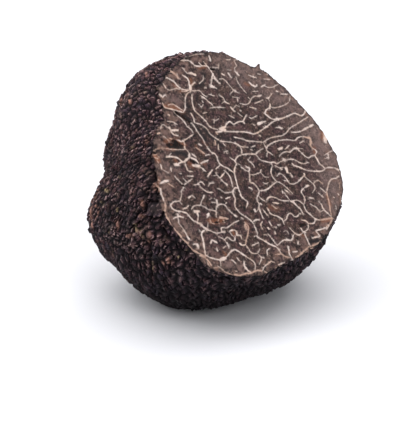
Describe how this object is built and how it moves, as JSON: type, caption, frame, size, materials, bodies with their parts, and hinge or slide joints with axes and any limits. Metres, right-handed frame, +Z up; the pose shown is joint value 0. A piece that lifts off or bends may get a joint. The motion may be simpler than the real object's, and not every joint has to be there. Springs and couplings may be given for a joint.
{
  "type": "black truffle",
  "caption": "Lobed black truffle cut flat on one side, showing its veined flesh, resting on a small flat spot.",
  "frame": {"origin": "on the surface that the truffle rests on, in the middle of its bounding box", "axes": "+Z up; -Y is the side a person looks from, with the cut face turned up and to their right (+X)"},
  "size_m": [0.0606, 0.0612, 0.0584],
  "materials": {
    "truffle": "rough near-black warty skin, with a flat grey-brown cut face crossed by cream veins"
  },
  "bodies": {
    "root": {"truffle": "truffle"}
  },
  "joints": []
}
